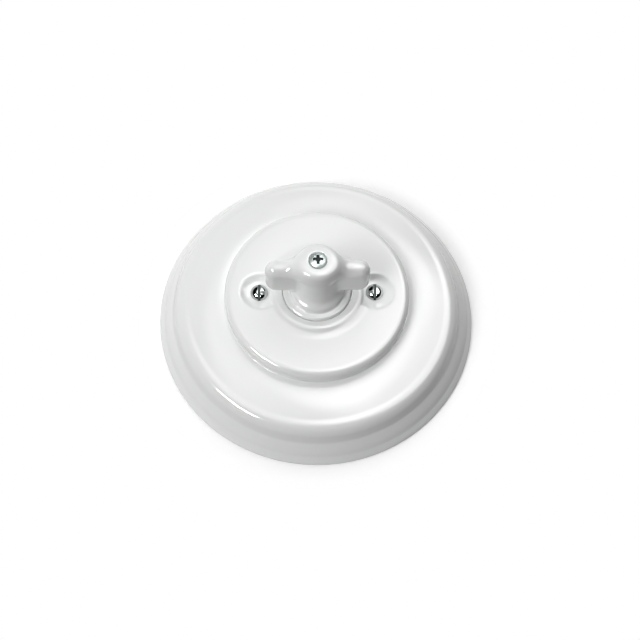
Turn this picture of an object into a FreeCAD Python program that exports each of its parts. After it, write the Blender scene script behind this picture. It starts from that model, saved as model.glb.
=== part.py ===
import FreeCAD, Part
import Sketcher
import math
import os
from FreeCAD import Vector

# Porcelain rotary switch for a round wall box, in millimetres.
# The origin is the middle of the surround's back, +Z points out of the wall and +X to the right screw.
doc = FreeCAD.newDocument("porcelain_rotary_switch")
sheet = doc.addObject("Spreadsheet::Sheet", "sizes")
named = []


class Size:
    """A number together with the sheet expression that gives it."""

    def __init__(self, value, text):
        self.value = value
        self.text = text

    def __add__(self, other):
        other = as_size(other)
        return Size(self.value + other.value, f"({self.text} + {other.text})")

    def __sub__(self, other):
        other = as_size(other)
        return Size(self.value - other.value, f"({self.text} - {other.text})")

    def __rsub__(self, other):
        return as_size(other) - self

    def __mul__(self, other):
        other = as_size(other)
        return Size(self.value * other.value, f"({self.text} * {other.text})")

    def __truediv__(self, other):
        other = as_size(other)
        return Size(self.value / other.value, f"({self.text} / {other.text})")

    def __neg__(self):
        return Size(-self.value, f"(0 - {self.text})")

    def root(self):
        return Size(math.sqrt(self.value), f"sqrt({self.text})")

    __radd__ = __add__
    __rmul__ = __mul__


def as_size(number):
    return number if isinstance(number, Size) else Size(float(number), f"({float(number)})")


def size(name, value):
    """Puts one driving dimension in the sheet."""
    named.append(name)
    row = len(named)
    sheet.set(f"A{row}", name)
    sheet.set(f"B{row}", str(value))
    sheet.setAlias(f"B{row}", name)
    return Size(value, f"sizes.{name}")


def bind(thing, path, wanted):
    """Ties a property to its expression."""
    if isinstance(wanted, Size):
        thing.setExpression(path, wanted.text)


def new_body(label):
    body = doc.addObject("PartDesign::Body", label)
    body.Label = label
    body.AllowCompound = True
    return body


def new_sketch(body, plane, away=0):
    """A sketch on one of the body's own planes, moved out along its normal."""
    sketch = body.newObject("Sketcher::SketchObject", "sketch")
    datum = [f for f in body.Origin.OriginFeatures if f.Role == plane][0]
    sketch.AttachmentSupport = [(datum, "")]
    sketch.MapMode = "FlatFace"
    distance = as_size(away)
    sketch.AttachmentOffset = FreeCAD.Placement(Vector(0, 0, distance.value), FreeCAD.Rotation())
    bind(sketch, "AttachmentOffset.Base.z", away)
    return sketch


def pin(sketch, shape, end, across, up):
    """Holds one point of a sketch at its two coordinates."""
    for kind, axis, wanted in (("DistanceX", -2, across), ("DistanceY", -1, up)):
        if not isinstance(wanted, Size) and wanted == 0:
            sketch.addConstraint(Sketcher.Constraint("PointOnObject", shape, end, axis))
            continue
        rule = Sketcher.Constraint(kind, -1, 1, shape, end, as_size(wanted).value)
        index = sketch.addConstraint(rule)
        bind(sketch, f"Constraints[{index}]", wanted)


def set_radius(sketch, shape, radius):
    index = sketch.addConstraint(Sketcher.Constraint("Radius", shape, as_size(radius).value))
    bind(sketch, f"Constraints[{index}]", radius)


def arc_through(start, end, radius, turn):
    """The shorter arc between two points, anticlockwise where turn is 1."""
    chord = end - start
    rise = math.sqrt(max(radius * radius - chord.Length * chord.Length / 4, 0))
    side = Vector(-chord.y, chord.x, 0).normalize()
    centre = (start + end) * 0.5 + side * (rise * turn)
    circle = Part.Circle(centre, Vector(0, 0, 1), radius)
    first, last = (start, end) if turn > 0 else (end, start)
    from_angle = math.atan2(first.y - centre.y, first.x - centre.x)
    to_angle = math.atan2(last.y - centre.y, last.x - centre.x)
    if to_angle <= from_angle:
        to_angle += 2 * math.pi
    return Part.ArcOfCircle(circle, from_angle, to_angle)


def outline(sketch, points):
    """A closed outline: (across, up) ends a straight side, (across, up, radius, turn) ends an arc."""
    spots = [Vector(as_size(p[0]).value, as_size(p[1]).value, 0) for p in points]
    sides = []
    for i, point in enumerate(points):
        start = spots[i - 1]
        if len(point) == 2:
            sides.append((sketch.addGeometry(Part.LineSegment(start, spots[i]), False), 1, 2))
            continue
        arc = arc_through(start, spots[i], as_size(point[2]).value, point[3])
        index = sketch.addGeometry(arc, False)
        sides.append((index, 1, 2) if point[3] > 0 else (index, 2, 1))
    for i, point in enumerate(points):
        shape, _, end = sides[i]
        following, start, _ = sides[(i + 1) % len(sides)]
        sketch.addConstraint(Sketcher.Constraint("Coincident", shape, end, following, start))
        pin(sketch, shape, end, point[0], point[1])
        if len(point) == 4:
            set_radius(sketch, shape, point[2])


def disc(sketch, across, up, radius):
    """A full circle."""
    centre = Vector(as_size(across).value, as_size(up).value, 0)
    circle = Part.Circle(centre, Vector(0, 0, 1), as_size(radius).value)
    shape = sketch.addGeometry(circle, False)
    pin(sketch, shape, 3, across, up)
    set_radius(sketch, shape, radius)


def box(sketch, left, right, low, high):
    """A rectangle."""
    outline(sketch, [(left, low), (right, low), (right, high), (left, high)])


def axis_line(sketch, across, low, high):
    """An upright construction line to turn a profile about."""
    start = Vector(as_size(across).value, low, 0)
    end = Vector(as_size(across).value, high, 0)
    shape = sketch.addGeometry(Part.LineSegment(start, end), True)
    pin(sketch, shape, 1, across, low)
    pin(sketch, shape, 2, across, high)
    return (sketch, ["Axis0"])


def feature(body, kind, sketch):
    made = body.newObject("PartDesign::" + kind, kind.lower())
    made.Profile = sketch
    sketch.Visibility = False
    return made


def extrude(body, kind, sketch, length, reverse=False):
    """Pads or pockets a sketch by a length."""
    made = feature(body, kind, sketch)
    made.Length = as_size(length).value
    bind(made, "Length", length)
    made.Reversed = reverse
    doc.recompute()
    return made


def cut_through(body, sketch, reverse=False, both_ways=False):
    made = feature(body, "Pocket", sketch)
    made.Type = "ThroughAll"
    made.Reversed = reverse
    if both_ways:
        made.SideType = "Symmetric"
    doc.recompute()
    return made


def turn(body, kind, sketch, axis=None):
    """Turns a profile full circle: Revolution adds, Groove takes away."""
    made = feature(body, kind, sketch)
    made.ReferenceAxis = axis or (sketch, ["V_Axis"])
    made.Angle = 360
    doc.recompute()
    return made


def repeat(body, features, count, angle):
    """Repeats features about the spindle axis."""
    made = body.newObject("PartDesign::PolarPattern", "pattern")
    made.Originals = features
    axis = [f for f in body.Origin.OriginFeatures if f.Role == "Z_Axis"][0]
    made.Axis = (axis, [""])
    made.Angle = angle
    made.Occurrences = count
    body.Tip = made
    doc.recompute()
    return made


def soften(body, wanted, radius):
    """Rounds the edges of the finished shape that a test picks."""
    base = body.Tip
    names = [f"Edge{i + 1}" for i, edge in enumerate(base.Shape.Edges) if wanted(edge)]
    made = body.newObject("PartDesign::Fillet", "fillet")
    made.Base = (base, names)
    made.Radius = as_size(radius).value
    bind(made, "Radius", radius)
    doc.recompute()
    return made


# Surround ring: the wide moulded porcelain ring against the wall
ring_radius = size("ring_radius", 54.0)
ring_foot_height = size("ring_foot_height", 0.9)
ring_foot_step = size("ring_foot_step", 1.4)
ring_foot_round = size("ring_foot_round", 2.4)
ring_foot_top = size("ring_foot_top", 2.8)
ring_quirk = size("ring_quirk", 0.6)
ring_quirk_rise = size("ring_quirk_rise", 0.25)
ring_ovolo_step = size("ring_ovolo_step", 2.5)
ring_ovolo_round = size("ring_ovolo_round", 6.0)
ring_ovolo_top = size("ring_ovolo_top", 7.1)
ring_bead_ledge = size("ring_bead_ledge", 0.6)
ring_bead_rise = size("ring_bead_rise", 0.3)
ring_upper_step = size("ring_upper_step", 0.8)
ring_upper_top = size("ring_upper_top", 10.4)
ring_shoulder_step = size("ring_shoulder_step", 4.7)
ring_shoulder_round = size("ring_shoulder_round", 5.2)
ring_shoulder_top = size("ring_shoulder_top", 13.8)
ring_dome_round = size("ring_dome_round", 60.0)
ring_seat_height = size("ring_seat_height", 16.5)
ring_seat_margin = size("ring_seat_margin", 0.6)
ring_hub_depth = size("ring_hub_depth", 4.6)
ring_hollow_step = size("ring_hollow_step", 12.4)
ring_hollow_height = size("ring_hollow_height", 9.2)
ring_hollow_wall = size("ring_hollow_wall", 9.4)
ring_hollow_low = size("ring_hollow_low", 6.4)
ring_rim_width = size("ring_rim_width", 5.2)
cover_radius = size("cover_radius", 31.0)
spigot_radius = size("spigot_radius", 26.7)
spigot_clearance = size("spigot_clearance", 0.4)

foot_shoulder = ring_radius - ring_foot_step
ovolo_foot = foot_shoulder - ring_quirk
ovolo_shoulder = ovolo_foot - ring_ovolo_step
upper_foot = ovolo_shoulder - ring_bead_ledge
upper_shoulder = upper_foot - ring_upper_step
dome_edge = upper_shoulder - ring_shoulder_step
ring_hole = spigot_radius + spigot_clearance
ring = new_body("surround_ring")
profile = new_sketch(ring, "XZ_Plane")
outline(
    profile,
    [
        (ring_radius - ring_rim_width, 0),
        (ring_radius, 0),
        (ring_radius, ring_foot_height),
        (foot_shoulder, ring_foot_top, ring_foot_round, 1),
        (ovolo_foot, ring_foot_top + ring_quirk_rise),
        (ovolo_shoulder, ring_ovolo_top, ring_ovolo_round, 1),
        (upper_foot, ring_ovolo_top + ring_bead_rise),
        (upper_shoulder, ring_upper_top),
        (dome_edge, ring_shoulder_top, ring_shoulder_round, 1),
        (cover_radius + ring_seat_margin, ring_seat_height, ring_dome_round, 1),
        (ring_hole, ring_seat_height),
        (ring_hole, ring_seat_height - ring_hub_depth),
        (ring_radius - ring_hollow_step, ring_hollow_height),
        (ring_radius - ring_hollow_wall, ring_hollow_low),
    ],
)
turn(ring, "Revolution", profile)

# Cover plate: the round porcelain plate with the collar for the knob and two dished screw seats
cover_side = size("cover_side", 2.5)
cover_round = size("cover_round", 2.4)
cover_underside = size("cover_underside", 0.5)
spigot_wall = size("spigot_wall", 2.4)
spigot_depth = size("spigot_depth", 3.0)
knob_flange_radius = size("knob_flange_radius", 11.5)
collar_gap = size("collar_gap", 0.3)
collar_lip = size("collar_lip", 0.7)
collar_land = size("collar_land", 1.9)
collar_round = size("collar_round", 0.9)
collar_cove = size("collar_cove", 2.0)
collar_cove_round = size("collar_cove_round", 4.5)
collar_cove_rise = size("collar_cove_rise", 0.2)
collar_side = size("collar_side", 0.1)
well_depth = size("well_depth", 0.2)
spindle_radius = size("spindle_radius", 3.0)
cover_hole_gap = size("cover_hole_gap", 1.2)
screw_spacing = size("screw_spacing", 38.6)
screw_radius = size("screw_radius", 1.5)
cover_screw_gap = size("cover_screw_gap", 0.25)
dish_radius = size("dish_radius", 6.5)
dish_depth = size("dish_depth", 1.5)
dish_seat = size("dish_seat", 3.3)
dish_round = size("dish_round", 6.0)

cover_top = ring_seat_height + cover_side + cover_round
cover_floor = ring_seat_height + cover_underside
collar_bore = knob_flange_radius + collar_gap
collar_inner = collar_bore + collar_lip
collar_crest = collar_inner + collar_land
collar_outer = collar_crest + collar_round
collar_top = cover_top + collar_cove_rise + collar_side + collar_round
collar_foot = collar_outer + collar_cove
well_floor = cover_top - well_depth
spigot_inner = spigot_radius - spigot_wall
cover_hole = spindle_radius + cover_hole_gap
screw_at = screw_spacing / 2
screw_seat = cover_top - dish_depth
cover = new_body("cover_plate")
profile = new_sketch(cover, "XZ_Plane")
outline(
    profile,
    [
        (cover_hole, cover_floor),
        (spigot_inner, cover_floor),
        (spigot_inner, ring_seat_height - spigot_depth),
        (spigot_radius, ring_seat_height - spigot_depth),
        (spigot_radius, ring_seat_height),
        (cover_radius, ring_seat_height),
        (cover_radius, ring_seat_height + cover_side),
        (cover_radius - cover_round, cover_top, cover_round, 1),
        (collar_foot, cover_top),
        (collar_outer, cover_top + collar_cove_rise, collar_cove_round, -1),
        (collar_outer, collar_top - collar_round),
        (collar_crest, collar_top, collar_round, 1),
        (collar_inner, collar_top),
        (collar_bore, collar_top - collar_lip, collar_lip, 1),
        (collar_bore, well_floor),
        (cover_hole, well_floor),
    ],
)
turn(cover, "Revolution", profile)
profile = new_sketch(cover, "XZ_Plane")
outline(
    profile,
    [
        (screw_at, screw_seat),
        (screw_at + dish_seat, screw_seat),
        (screw_at + dish_radius, cover_top, dish_round, 1),
        (screw_at + dish_radius, collar_top + 1.0),
        (screw_at, collar_top + 1.0),
    ],
)
dish = turn(cover, "Groove", profile, axis_line(profile, screw_at, 0, 50))
repeat(cover, [dish], 2, 360)
profile = new_sketch(cover, "XZ_Plane")
outline(
    profile,
    [
        (collar_bore, cover_floor),
        (collar_outer, cover_floor),
        (collar_outer, collar_top - collar_round),
        (collar_crest, collar_top, collar_round, 1),
        (collar_inner, collar_top),
        (collar_bore, collar_top - collar_lip, collar_lip, 1),
    ],
)
turn(cover, "Revolution", profile)
holes = new_sketch(cover, "XY_Plane")
disc(holes, screw_at, 0, screw_radius + cover_screw_gap)
disc(holes, -screw_at, 0, screw_radius + cover_screw_gap)
cut_through(cover, holes, reverse=True)

# Cover screws: two plated screws with domed slotted heads that clamp cover and surround to the strap
dome_radius = size("dome_radius", 2.95)
dome_edge_height = size("dome_edge_height", 0.5)
dome_height = size("dome_height", 2.3)
slot_width = size("slot_width", 0.8)
slot_depth = size("slot_depth", 1.0)
cover_screw_length = size("cover_screw_length", 14.0)

dome_rise = dome_height - dome_edge_height
dome_round = (dome_radius * dome_radius + dome_rise * dome_rise) / (dome_rise * 2)
screws = new_body("cover_screws")
for side in (-1, 1):
    middle = screw_at * side
    profile = new_sketch(screws, "XZ_Plane")
    outline(
        profile,
        [
            (middle, screw_seat - cover_screw_length),
            (middle + screw_radius, screw_seat - cover_screw_length),
            (middle + screw_radius, screw_seat),
            (middle + dome_radius, screw_seat),
            (middle + dome_radius, screw_seat + dome_edge_height),
            (middle, screw_seat + dome_height, dome_round, 1),
        ],
    )
    turn(screws, "Revolution", profile, axis_line(profile, middle, 0, 50))
slots = new_sketch(screws, "XY_Plane", screw_seat + dome_height)
for side in (-1, 1):
    middle = screw_at * side
    box(slots, middle - slot_width / 2, middle + slot_width / 2, -4, 4)
extrude(screws, "Pocket", slots, slot_depth)

# Mounting strap: the pressed steel plate screwed over the wall box
strap_length = size("strap_length", 76.0)
strap_width = size("strap_width", 50.0)
strap_corner = size("strap_corner", 10.0)
strap_thickness = size("strap_thickness", 1.2)
strap_lip_height = size("strap_lip_height", 4.5)
strap_lip_length = size("strap_lip_length", 46.0)
box_screw_spacing = size("box_screw_spacing", 60.0)
box_slot_length = size("box_slot_length", 8.0)
box_slot_radius = size("box_slot_radius", 1.75)
bush_radius = size("bush_radius", 7.0)
bush_gap = size("bush_gap", 0.3)
pillar_spigot_radius = size("pillar_spigot_radius", 2.2)
pillar_spigot_gap = size("pillar_spigot_gap", 0.03)
base_screw_at = size("base_screw_at", 17.1)
base_screw_radius = size("base_screw_radius", 1.25)
thread_gap = size("thread_gap", 0.05)

half_length = strap_length / 2
half_width = strap_width / 2
slot_near = box_screw_spacing / 2 - box_slot_length / 2 + box_slot_radius
slot_far = box_screw_spacing / 2 + box_slot_length / 2 - box_slot_radius
base_screw_hole = base_screw_radius + thread_gap
strap = new_body("mounting_strap")
plate = new_sketch(strap, "XY_Plane")
outline(
    plate,
    [
        (strap_corner - half_length, -half_width, strap_corner, 1),
        (half_length - strap_corner, -half_width),
        (half_length, strap_corner - half_width, strap_corner, 1),
        (half_length, half_width - strap_corner),
        (half_length - strap_corner, half_width, strap_corner, 1),
        (strap_corner - half_length, half_width),
        (-half_length, half_width - strap_corner, strap_corner, 1),
        (-half_length, strap_corner - half_width),
    ],
)
extrude(strap, "Pad", plate, strap_thickness)
lips = new_sketch(strap, "XY_Plane")
for side in (-1, 1):
    edge = half_width * side
    fold = edge - strap_thickness * side
    low, high = (edge, fold) if side < 0 else (fold, edge)
    box(lips, -(strap_lip_length / 2), strap_lip_length / 2, low, high)
extrude(strap, "Pad", lips, strap_lip_height)
holes = new_sketch(strap, "XY_Plane")
for side in (-1, 1):
    left, right = (slot_near, slot_far) if side > 0 else (-slot_far, -slot_near)
    outline(
        holes,
        [
            (left, -box_slot_radius, box_slot_radius, 1),
            (right, -box_slot_radius),
            (right + box_slot_radius, 0, box_slot_radius, 1),
            (right, box_slot_radius, box_slot_radius, 1),
            (left, box_slot_radius),
            (left - box_slot_radius, 0, box_slot_radius, 1),
        ],
    )
    disc(holes, screw_at * side, 0, pillar_spigot_radius + pillar_spigot_gap)
    disc(holes, base_screw_at * side, base_screw_at * side, base_screw_hole)
disc(holes, 0, 0, bush_radius + bush_gap)
cut_through(strap, holes, reverse=True)

# Cover pillars: two turned brass posts riveted into the strap and tapped for the cover screws
pillar_radius = size("pillar_radius", 3.2)
pillar_bore_depth = size("pillar_bore_depth", 14.0)

pillars = new_body("cover_pillars")
posts = new_sketch(pillars, "XY_Plane", strap_thickness)
disc(posts, screw_at, 0, pillar_radius)
disc(posts, -screw_at, 0, pillar_radius)
extrude(pillars, "Pad", posts, cover_floor - strap_thickness)
rivets = new_sketch(pillars, "XY_Plane", strap_thickness)
disc(rivets, screw_at, 0, pillar_spigot_radius)
disc(rivets, -screw_at, 0, pillar_spigot_radius)
extrude(pillars, "Pad", rivets, strap_thickness, reverse=True)
bores = new_sketch(pillars, "XY_Plane", cover_floor)
disc(bores, screw_at, 0, screw_radius + thread_gap)
disc(bores, -screw_at, 0, screw_radius + thread_gap)
extrude(pillars, "Pocket", bores, pillar_bore_depth)

# Switch lid: the moulded front of the switch block with the bush that guides the spindle
block_width = size("block_width", 46.0)
block_corner = size("block_corner", 8.0)
lid_thickness = size("lid_thickness", 3.0)
bush_height = size("bush_height", 7.0)
spindle_running_gap = size("spindle_running_gap", 0.05)

lid_back = -lid_thickness


def cut_square(sketch, half, corner):
    """A square with its corners cut off."""
    short = half - corner
    corners = [(half, -short), (half, short), (short, half), (-short, half)]
    corners += [(-half, short), (-half, -short), (-short, -half), (short, -half)]
    outline(sketch, corners)


lid = new_body("switch_lid")
front = new_sketch(lid, "XY_Plane")
cut_square(front, block_width / 2, block_corner)
extrude(lid, "Pad", front, lid_thickness, reverse=True)
bush = new_sketch(lid, "XY_Plane")
disc(bush, 0, 0, bush_radius)
extrude(lid, "Pad", bush, bush_height)
holes = new_sketch(lid, "XY_Plane")
disc(holes, 0, 0, spindle_radius + spindle_running_gap)
disc(holes, base_screw_at, base_screw_at, base_screw_hole)
disc(holes, -base_screw_at, -base_screw_at, base_screw_hole)
cut_through(lid, holes, both_ways=True)

# Switch base: the moulded block behind the wall plane that holds the contacts and terminals
cavity_width = size("cavity_width", 36.0)
cavity_corner = size("cavity_corner", 5.5)
cavity_depth = size("cavity_depth", 18.0)
floor_thickness = size("floor_thickness", 3.0)
terminal_across = size("terminal_across", 8.0)
wire_hole_out = size("wire_hole_out", 14.2)
wire_entry_radius = size("wire_entry_radius", 3.2)
terminal_screw_height = size("terminal_screw_height", 4.0)
window_radius = size("window_radius", 2.9)
leaf_length = size("leaf_length", 38.0)
leaf_thickness = size("leaf_thickness", 0.5)
leaf_width = size("leaf_width", 3.2)
leaf_gap = size("leaf_gap", 0.05)
leaf_end_gap = size("leaf_end_gap", 0.15)
cam_width = size("cam_width", 12.0)
cam_thickness = size("cam_thickness", 3.8)
cam_gap = size("cam_gap", 0.4)
pivot_radius = size("pivot_radius", 1.9)
pivot_depth = size("pivot_depth", 2.0)
base_head_radius = size("base_head_radius", 2.1)
base_head_height = size("base_head_height", 1.6)
base_head_gap = size("base_head_gap", 0.2)

cavity_floor = lid_back - cavity_depth
base_back = cavity_floor - floor_thickness
terminal_screw_z = cavity_floor + terminal_screw_height
leaf_inner = cam_width / 2 + leaf_gap
cam_front = lid_back - cam_gap
cam_back = cam_front - cam_thickness
leaf_reach = leaf_length / 2 + leaf_end_gap
base = new_body("switch_base")
block = new_sketch(base, "XY_Plane", lid_back)
cut_square(block, block_width / 2, block_corner)
extrude(base, "Pad", block, cavity_depth + floor_thickness, reverse=True)
cavity = new_sketch(base, "XY_Plane", lid_back)
cut_square(cavity, cavity_width / 2, cavity_corner)
extrude(base, "Pocket", cavity, cavity_depth)
slots = new_sketch(base, "XY_Plane", lid_back)
for side in (-1, 1):
    near = leaf_inner - leaf_end_gap
    far = leaf_inner + leaf_thickness + leaf_end_gap
    low, high = (near, far) if side > 0 else (-far, -near)
    box(slots, -leaf_reach, leaf_reach, low, high)
extrude(base, "Pocket", slots, cam_gap + cam_thickness)
pivot = new_sketch(base, "XY_Plane", cavity_floor)
disc(pivot, 0, 0, pivot_radius + spindle_running_gap)
extrude(base, "Pocket", pivot, pivot_depth)
entries = new_sketch(base, "XY_Plane", base_back)
disc(entries, terminal_across, -wire_hole_out, wire_entry_radius)
disc(entries, wire_hole_out, terminal_across, wire_entry_radius)
disc(entries, -terminal_across, wire_hole_out, wire_entry_radius)
extrude(base, "Pocket", entries, floor_thickness, reverse=True)
heads = new_sketch(base, "XY_Plane", base_back)
disc(heads, base_screw_at, base_screw_at, base_head_radius + base_head_gap)
disc(heads, -base_screw_at, -base_screw_at, base_head_radius + base_head_gap)
extrude(base, "Pocket", heads, base_head_height + base_head_gap, reverse=True)
holes = new_sketch(base, "XY_Plane", base_back)
disc(holes, base_screw_at, base_screw_at, base_screw_hole)
disc(holes, -base_screw_at, -base_screw_at, base_screw_hole)
cut_through(base, holes, reverse=True)
window = new_sketch(base, "XZ_Plane")
disc(window, terminal_across, terminal_screw_z, window_radius)
cut_through(base, window, reverse=True)
window = new_sketch(base, "XZ_Plane")
disc(window, -terminal_across, terminal_screw_z, window_radius)
cut_through(base, window)
window = new_sketch(base, "YZ_Plane")
disc(window, terminal_across, terminal_screw_z, window_radius)
cut_through(base, window, reverse=True)

# Base screws: two long screws from the back that hold base and lid to the strap
base_slot_width = size("base_slot_width", 0.7)
base_slot_depth = size("base_slot_depth", 0.8)
base_screw_proud = size("base_screw_proud", 0.6)

head_seat = base_back + base_head_height + base_head_gap
fixings = new_body("base_screws")
shanks = new_sketch(fixings, "XY_Plane", head_seat)
disc(shanks, base_screw_at, base_screw_at, base_screw_radius)
disc(shanks, -base_screw_at, -base_screw_at, base_screw_radius)
extrude(fixings, "Pad", shanks, strap_thickness + base_screw_proud - head_seat)
heads = new_sketch(fixings, "XY_Plane", head_seat)
disc(heads, base_screw_at, base_screw_at, base_head_radius)
disc(heads, -base_screw_at, -base_screw_at, base_head_radius)
extrude(fixings, "Pad", heads, base_head_height, reverse=True)
slots = new_sketch(fixings, "XY_Plane", head_seat - base_head_height)
for side in (-1, 1):
    middle = base_screw_at * side
    left = middle - base_head_radius - 0.5
    right = middle + base_head_radius + 0.5
    box(slots, left, right, middle - base_slot_width / 2, middle + base_slot_width / 2)
extrude(fixings, "Pocket", slots, base_slot_depth, reverse=True)

# Spindle: the turned brass shaft with square ends, tapped for the knob screw
square_width = size("square_width", 4.2)
square_gap = size("square_gap", 0.04)
drum_length = size("drum_length", 12.0)
square_lead = size("square_lead", 0.4)
square_length = size("square_length", 16.4)
spindle_bore_depth = size("spindle_bore_depth", 12.0)
clip_thickness = size("clip_thickness", 0.7)
clip_groove_depth = size("clip_groove_depth", 0.5)
clip_gap = size("clip_gap", 0.1)
pivot_end_gap = size("pivot_end_gap", 0.3)

square_start = well_floor - square_lead
spindle_top = square_start + square_length
drum_back = cam_back - drum_length
clip_front = drum_back - clip_gap
clip_back = clip_front - clip_thickness
half_square = square_width / 2
spindle = new_body("spindle")
shaft = new_sketch(spindle, "XZ_Plane")
outline(
    shaft,
    [
        (0, cavity_floor - pivot_depth + pivot_end_gap),
        (pivot_radius, cavity_floor - pivot_depth + pivot_end_gap),
        (pivot_radius, clip_back - clip_gap),
        (pivot_radius - clip_groove_depth, clip_back - clip_gap),
        (pivot_radius - clip_groove_depth, drum_back),
        (pivot_radius, drum_back),
        (pivot_radius, cam_front),
        (spindle_radius, cam_front),
        (spindle_radius, square_start),
        (0, square_start),
    ],
)
turn(spindle, "Revolution", shaft)
lower = new_sketch(spindle, "XY_Plane", drum_back)
box(lower, -half_square, half_square, -half_square, half_square)
extrude(spindle, "Pad", lower, cam_front - drum_back)
upper = new_sketch(spindle, "XY_Plane", square_start)
box(upper, -half_square, half_square, -half_square, half_square)
extrude(spindle, "Pad", upper, spindle_top - square_start)
bore = new_sketch(spindle, "XY_Plane", spindle_top)
disc(bore, 0, 0, screw_radius + thread_gap)
extrude(spindle, "Pocket", bore, spindle_bore_depth)

# Spindle clip: the sprung ring that keeps cam and drum on the spindle
clip_radius = size("clip_radius", 3.5)
clip_mouth = size("clip_mouth", 2.2)
clip_bore_gap = size("clip_bore_gap", 0.05)

clip_inner = pivot_radius - clip_groove_depth + clip_bore_gap
half_mouth = clip_mouth / 2
inner_reach = (clip_inner * clip_inner - half_mouth * half_mouth).root()
outer_reach = (clip_radius * clip_radius - half_mouth * half_mouth).root()
clip = new_body("spindle_clip")
ring_shape = new_sketch(clip, "XY_Plane", clip_back)
outline(
    ring_shape,
    [
        (outer_reach, half_mouth),
        (-clip_radius, 0, clip_radius, 1),
        (outer_reach, -half_mouth, clip_radius, 1),
        (inner_reach, -half_mouth),
        (-clip_inner, 0, clip_inner, -1),
        (inner_reach, half_mouth, clip_inner, -1),
    ],
)
extrude(clip, "Pad", ring_shape, clip_thickness)

# Index cam: the square block that clicks between the two leaf springs every quarter turn
cam_corner = size("cam_corner", 2.2)

half_cam = cam_width / 2
cam_side = half_cam - cam_corner
half_hole = half_square + square_gap
cam = new_body("index_cam")
square = new_sketch(cam, "XY_Plane", cam_back)
outline(
    square,
    [
        (-cam_side, -half_cam, cam_corner, 1),
        (cam_side, -half_cam),
        (half_cam, -cam_side, cam_corner, 1),
        (half_cam, cam_side),
        (cam_side, half_cam, cam_corner, 1),
        (-cam_side, half_cam),
        (-half_cam, cam_side, cam_corner, 1),
        (-half_cam, -cam_side),
    ],
)
extrude(cam, "Pad", square, cam_thickness)
hole = new_sketch(cam, "XY_Plane")
box(hole, -half_hole, half_hole, -half_hole, half_hole)
cut_through(cam, hole, both_ways=True)

# Detent springs: two flat steel leaves that press on the cam
springs = new_body("detent_springs")
leaves = new_sketch(springs, "XY_Plane", cam_front)
for side in (-1, 1):
    near, far = leaf_inner, leaf_inner + leaf_thickness
    low, high = (near, far) if side > 0 else (-far, -near)
    box(leaves, -(leaf_length / 2), leaf_length / 2, low, high)
extrude(springs, "Pad", leaves, leaf_width, reverse=True)

# Drum contact: the copper crown moulded into the drum, a full ring with two lobes
drum_radius = size("drum_radius", 8.5)
crown_wall = size("crown_wall", 1.2)
drum_cheek = size("drum_cheek", 0.7)
track_width = size("track_width", 4.0)
lobe_length = size("lobe_length", 6.0)
lobe_width = size("lobe_width", 8.0)

crown_inner = drum_radius - crown_wall
crown_back = drum_back + drum_cheek
lobe_back = crown_back + track_width
half_lobe = lobe_width / 2
lobe_in = (crown_inner * crown_inner - half_lobe * half_lobe).root()
lobe_out = (drum_radius * drum_radius - half_lobe * half_lobe).root()


def lobe_outline(sketch):
    """The two lobes of the crown, one on each side."""
    for side in (-1, 1):
        outline(
            sketch,
            [
                (lobe_out * side, -half_lobe),
                (lobe_out * side, half_lobe, drum_radius, side),
                (lobe_in * side, half_lobe),
                (lobe_in * side, -half_lobe, crown_inner, -side),
            ],
        )


crown = new_body("drum_contact")
track = new_sketch(crown, "XY_Plane", crown_back)
disc(track, 0, 0, drum_radius)
disc(track, 0, 0, crown_inner)
extrude(crown, "Pad", track, track_width)
lobes = new_sketch(crown, "XY_Plane", lobe_back)
lobe_outline(lobes)
extrude(crown, "Pad", lobes, lobe_length)

# Contact drum: the moulded barrel that carries the crown round
drum = new_body("contact_drum")
barrel = new_sketch(drum, "XY_Plane", drum_back)
disc(barrel, 0, 0, drum_radius)
extrude(drum, "Pad", barrel, drum_length)
track = new_sketch(drum, "XY_Plane", lobe_back)
disc(track, 0, 0, drum_radius + 1.0)
disc(track, 0, 0, crown_inner)
extrude(drum, "Pocket", track, track_width)
lobes = new_sketch(drum, "XY_Plane", lobe_back)
lobe_outline(lobes)
extrude(drum, "Pocket", lobes, lobe_length, reverse=True)
hole = new_sketch(drum, "XY_Plane")
box(hole, -half_hole, half_hole, -half_hole, half_hole)
cut_through(drum, hole, both_ways=True)

# Terminals: three brass blocks with a wire hole at the back and a clamping screw at the side
terminal_width = size("terminal_width", 8.0)
terminal_inner = size("terminal_inner", 10.5)
terminal_wall_gap = size("terminal_wall_gap", 0.2)
terminal_height = size("terminal_height", 12.0)
wire_hole_radius = size("wire_hole_radius", 1.6)
wire_hole_depth = size("wire_hole_depth", 9.0)

terminal_outer = cavity_width / 2 - terminal_wall_gap
terminal_left = terminal_across - terminal_width / 2
terminal_right = terminal_across + terminal_width / 2


def spun(body, angle):
    """Turns a finished body about the spindle axis to its place."""
    body.Placement = FreeCAD.Placement(Vector(), FreeCAD.Rotation(Vector(0, 0, 1), angle))


def terminal(label, angle):
    body = new_body(label)
    plan = new_sketch(body, "XY_Plane", cavity_floor)
    box(plan, terminal_left, terminal_right, -terminal_outer, -terminal_inner)
    extrude(body, "Pad", plan, terminal_height)
    wire = new_sketch(body, "XY_Plane", cavity_floor)
    disc(wire, terminal_across, -wire_hole_out, wire_hole_radius)
    extrude(body, "Pocket", wire, wire_hole_depth, reverse=True)
    thread = new_sketch(body, "XZ_Plane", terminal_outer)
    disc(thread, terminal_across, terminal_screw_z, screw_radius + thread_gap)
    extrude(body, "Pocket", thread, terminal_outer - wire_hole_out)
    spun(body, angle)
    return body


terminal("terminal_common", 0)
terminal("terminal_one", 90)
terminal("terminal_two", 180)

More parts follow.
